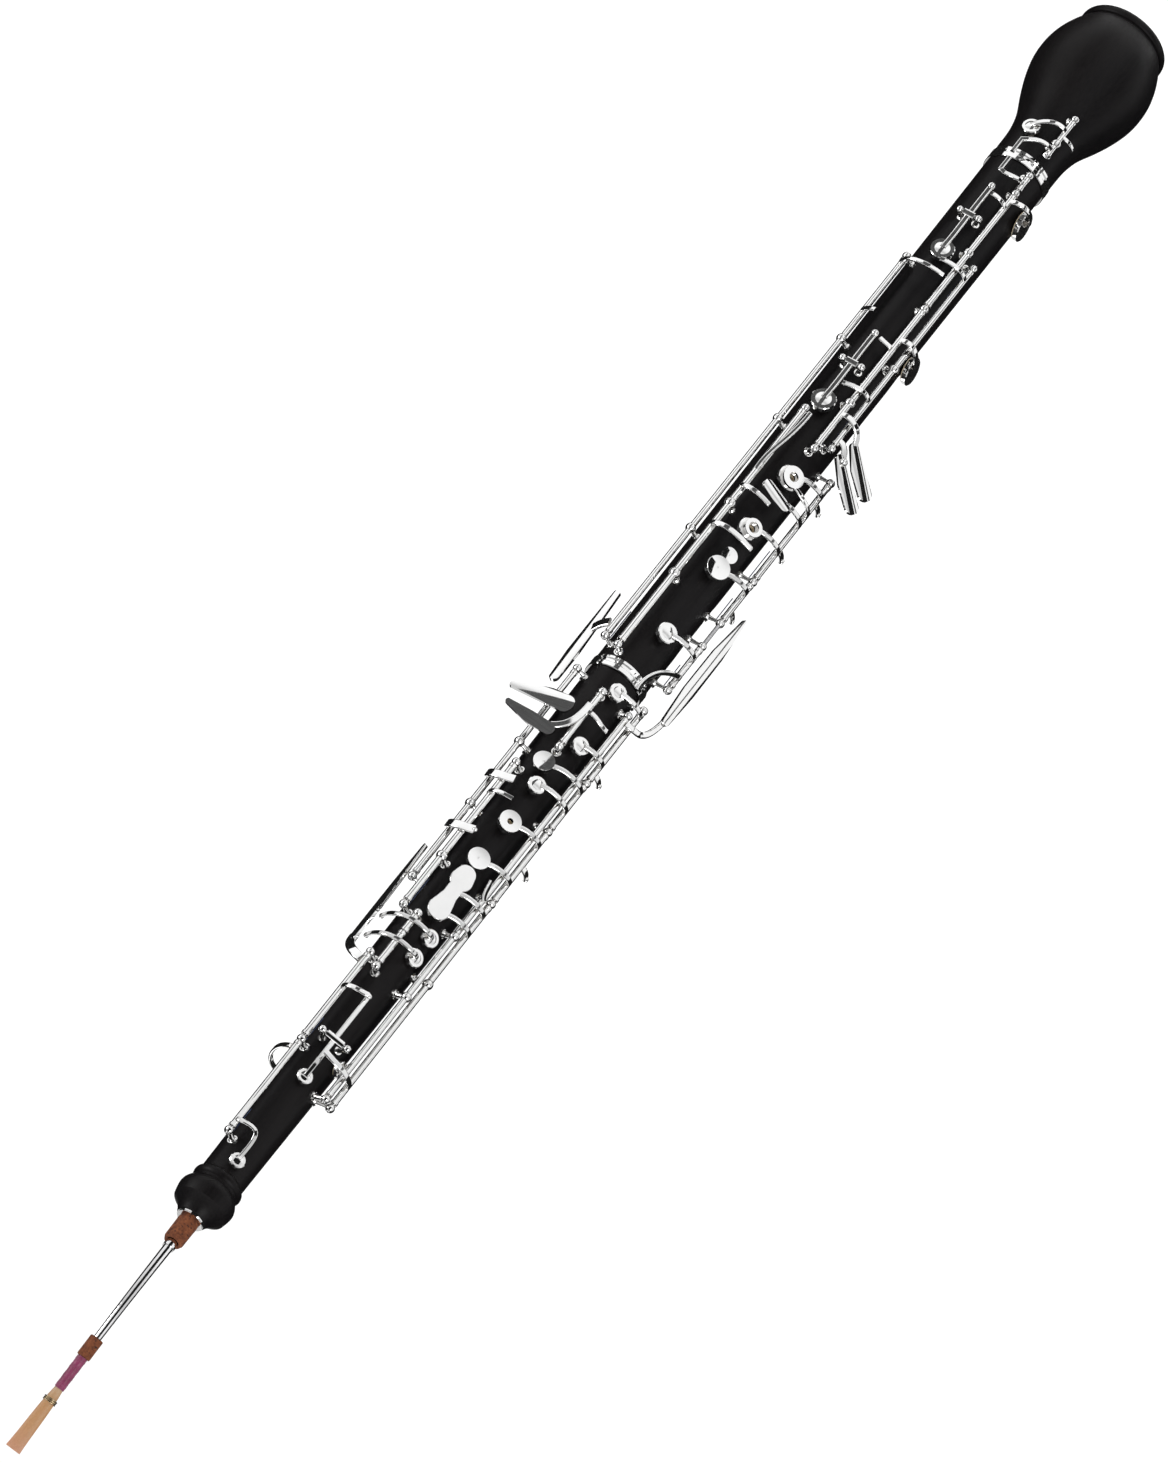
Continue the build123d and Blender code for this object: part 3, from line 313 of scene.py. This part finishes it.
def flag_material(name, grey):
    """Matt cloth of the cards round the object."""
    m = Nodes(name)
    cloth = m.noise(80, (1, 1, 1), 3)
    m.colour(m.ramp(cloth, (0.3, (grey * 0.8,) * 3), (0.7, (grey * 1.2,) * 3)))
    m.rough(m.spread(cloth, 0.85, 0.95))
    m.fixed(Specular_IOR_Level=0.0)
    return m.material


# ---- studio ----
FLOOR_Z = -0.4
FLOOR_REACH = 30.0
SKY_STRENGTH = 0.95
# How light the sky is at two heights, where 0 is the horizon and 1 is overhead.
SKY = ((0.15, 1.0), (0.75, 0.38))
# Each light's name, place, target, width, height and power.
LIGHTS = (
    ("wash", (0.0, 1.7, 2.8), (0.0, 1.8, FLOOR_Z), 3.4, 3.8, 66),
    ("key", (-1.2, -1.8, 2.0), (0.0, 0.0, 0.5), 1.0, 1.0, 24),
    ("side", (1.8, -0.5, 1.0), (0.0, 0.0, 0.3), 0.5, 1.0, 12),
)
FLAG_AWAY = 0.17
FLAG_STEPS = 8
BLACK, GREY = 0.013, 0.10
# Each card's two angles from the front, its lower and upper edge, and how light it is.
FLAGS = (
    (21, 40, -0.3, 0.66, GREY),
    (-46, -30, -0.3, 0.30, BLACK),
    (-58, -50, -0.3, 0.66, GREY),
    (87, 165, -0.3, 1.1, BLACK),
    (-165, -85, -0.3, 1.1, BLACK),
    (-28, 28, 0.69, 1.1, BLACK),
)


def area_light(name, place, target, wide, tall, power):
    data = bpy.data.lights.new(name, "AREA")
    data.shape = "RECTANGLE"
    data.size, data.size_y = wide, tall
    data.energy = power
    light = bpy.data.objects.new(name, data)
    light.location = place
    light.rotation_mode = "QUATERNION"
    light.rotation_quaternion = (Vector(target) - Vector(place)).to_track_quat("-Z", "Y")
    light.visible_camera = False
    bpy.context.scene.collection.objects.link(light)


def flag(name, start, end, low, high, material):
    """Curved card beside the object that only reflections see."""
    bm = bmesh.new()
    row = []
    for i in range(FLAG_STEPS + 1):
        turn = math.radians(start + (end - start) * i / FLAG_STEPS)
        x, y = FLAG_AWAY * math.sin(turn), -FLAG_AWAY * math.cos(turn)
        row.append((bm.verts.new((x, y, low)), bm.verts.new((x, y, high))))
    for (a, b), (c, d) in zip(row, row[1:]):
        bm.faces.new((a, c, d, b))
    mesh = bpy.data.meshes.new(name)
    bm.to_mesh(mesh)
    bm.free()
    mesh.materials.append(material)
    piece = bpy.data.objects.new(name, mesh)
    piece.visible_camera = False
    piece.visible_diffuse = False
    piece.visible_shadow = False
    bpy.context.scene.collection.objects.link(piece)


def floor():
    mesh = bpy.data.meshes.new("floor")
    low, high = -FLOOR_REACH, FLOOR_REACH
    corners = [(x, y, FLOOR_Z) for x, y in ((low, low), (high, low), (high, high), (low, high))]
    mesh.from_pydata(corners, [], [(0, 1, 2, 3)])
    mesh.materials.append(floor_material())
    piece = bpy.data.objects.new("floor", mesh)
    bpy.context.scene.collection.objects.link(piece)


def sky():
    """Pale all round, and greyer overhead."""
    world = bpy.data.worlds.new("studio")
    bpy.context.scene.world = world
    world.use_nodes = True
    tree = world.node_tree
    back = tree.nodes["Background"]
    back.inputs["Strength"].default_value = SKY_STRENGTH
    coords = tree.nodes.new("ShaderNodeTexCoord")
    parts = tree.nodes.new("ShaderNodeSeparateXYZ")
    fade = tree.nodes.new("ShaderNodeValToRGB")
    for element, (height, grey) in zip(fade.color_ramp.elements, SKY):
        element.position = height
        element.color = (grey, grey, grey, 1)
    tree.links.new(coords.outputs["Generated"], parts.inputs[0])
    tree.links.new(parts.outputs["Z"], fade.inputs["Fac"])
    tree.links.new(fade.outputs["Color"], back.inputs["Color"])


def studio():
    cloths = {BLACK: flag_material("black_cloth", BLACK), GREY: flag_material("grey_cloth", GREY)}
    for i, (start, end, low, high, shade) in enumerate(FLAGS):
        flag(f"flag_{i + 1}", start, end, low, high, cloths[shade])
    floor()
    sky()
    for light in LIGHTS:
        area_light(*light)


# ---- thread on the reed ----
STRAND_R = 0.00017
STRAND_STEP = 0.00031   # along the reed for each turn
STRAND_SIDES = 7
POINTS_PER_TURN = 22
SUNK = 0.4 * STRAND_R   # pressed into the plain thread below
STRAY = 0.00001         # how far a point strays along the reed
# Height of each slow wave in the winding, its angle from end to end, and where it starts.
SWELLS = ((0.00006, 23, 0), (0.00004, 71, 1))
SLICE = 0.0012          # part of the thread that a radius is measured on


def along_reed():
    """The reed's axis and a point on it, then the thread's two ends and its radius at each."""
    axis = next(Vector(j["axis"]) for j in frame["joints"] if j["name"] == "reed_pull").normalized()
    part = nodes["reed_thread"]
    points = [part.matrix_world @ v.co for v in part.data.vertices]
    heights = [p.dot(axis) for p in points]
    low, high = min(heights), max(heights)
    middle = sum(points, Vector()) / len(points)
    middle -= axis * middle.dot(axis)

    def wide(level):
        near = [p for p, h in zip(points, heights) if abs(h - level) < SLICE]
        return max((p - middle - axis * p.dot(axis)).length for p in near)

    return axis, middle, low, high, wide(low), wide(high)


def strand_path(side, other):
    """Points of the strand's middle line, laid round and round, each with the spoke out to it."""
    axis, middle, low, high, wide_low, wide_high = along_reed()
    random = Random(5)
    length = high - low - 2 * STRAND_R
    count = length / STRAND_STEP * POINTS_PER_TURN
    path = []
    for i in range(int(count) + 1):
        share = i / count
        turn = 2 * math.pi * i / POINTS_PER_TURN
        swell = sum(height * math.sin(share * waves + start) for height, waves, start in SWELLS)
        out = wide_low + share * (wide_high - wide_low) - SUNK + swell
        rise = low + STRAND_R + share * length + random.uniform(-1, 1) * STRAY
        spoke = side * math.cos(turn) + other * math.sin(turn)
        path.append((middle + spoke * out + axis * rise, spoke))
    return path


def winding(material):
    """One strand wound from the cork to the bare cane, over the plain thread."""
    axis = along_reed()[0]
    side = axis.orthogonal().normalized()
    bm = bmesh.new()
    rings = []
    for point, spoke in strand_path(side, axis.cross(side)):
        ring = []
        for k in range(STRAND_SIDES):
            angle = 2 * math.pi * k / STRAND_SIDES
            offset = spoke * math.cos(angle) + axis * math.sin(angle)
            ring.append(bm.verts.new(point + offset * STRAND_R))
        rings.append(ring)
    for a, b in zip(rings, rings[1:]):
        for k in range(STRAND_SIDES):
            after = (k + 1) % STRAND_SIDES
            bm.faces.new((a[k], b[k], b[after], a[after]))
    bm.faces.new(rings[0][::-1])
    bm.faces.new(rings[-1])
    bmesh.ops.recalc_face_normals(bm, faces=bm.faces)
    mesh = bpy.data.meshes.new("reed_winding")
    bm.to_mesh(mesh)
    bm.free()
    mesh.polygons.foreach_set("use_smooth", [True] * len(mesh.polygons))
    mesh.materials.append(material)
    piece = bpy.data.objects.new("reed_winding", mesh)
    bpy.context.scene.collection.objects.link(piece)
    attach(piece, "reed")


# ---- dressing ----
def dress():
    """The material of each slot, given to every node of that slot."""
    slots = {entry["node"]: entry["material_slot"] for entry in frame["record"]["subparts"]}
    low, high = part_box("reed_blades")
    made = {
        "blackwood": blackwood(),
        "silver_plate": silver(),
        "steel": steel(),
        "blued_steel": blued_steel(),
        "key_pad": pad_skin(),
        "cork": cork("cork", (0.095, 0.026, 0.010), (0.25, 0.080, 0.031)),
        "bocal_silver": silver("bocal_silver", (0.92, 0.92, 0.93), 0.02, 0.05),
        "thread": thread(),
        "cane": cane(low.z, high.z),
        "brass_wire": brass(),
    }
    for name, node in nodes.items():
        node.data.materials.clear()
        node.data.materials.append(made[slots[name]])
    return made


make_camera()
materials = dress()
winding(materials["thread"])
studio()
bpy.context.scene.view_settings.view_transform = "Standard"
